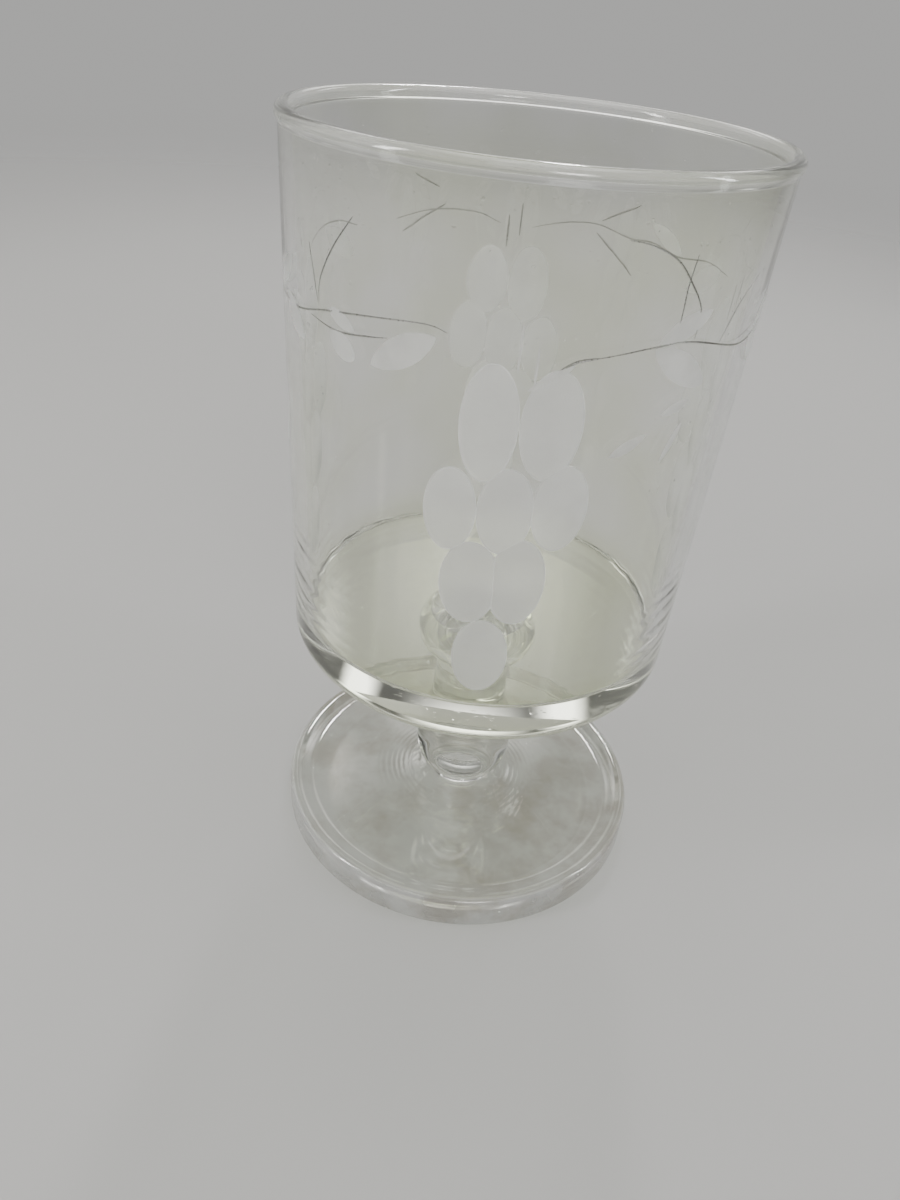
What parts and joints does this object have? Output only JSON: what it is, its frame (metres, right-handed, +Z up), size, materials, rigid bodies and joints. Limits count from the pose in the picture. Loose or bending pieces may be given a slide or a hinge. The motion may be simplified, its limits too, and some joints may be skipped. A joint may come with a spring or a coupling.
{
  "type": "stemmed wine glass",
  "caption": "Clear glass goblet: straight-sided thick-based bowl with frosted cut grape bunches, short stem with a ball knop and a cushion knop, and heavy round foot with a raised lip.",
  "frame": {"origin": "centre of the foot's underside, in the plane the glass stands on", "axes": "+Z up along the glass's axis; -Y faces the front cut bunch (which is turned 3 degrees about +Z from -Y)"},
  "size_m": [0.071, 0.071, 0.127],
  "materials": {
    "bowl_glass": "fire-polished clear soda-lime glass; the cut grapes and leaves are ground and left satin",
    "stem_glass": "clear glass, polished by pressing and fire",
    "foot_glass": "clear pressed glass with faint chill ripples round the stem and a slightly hazy side"
  },
  "bodies": {
    "root": {"bowl": "bowl_glass", "stem": "stem_glass", "foot": "foot_glass"}
  },
  "joints": []
}
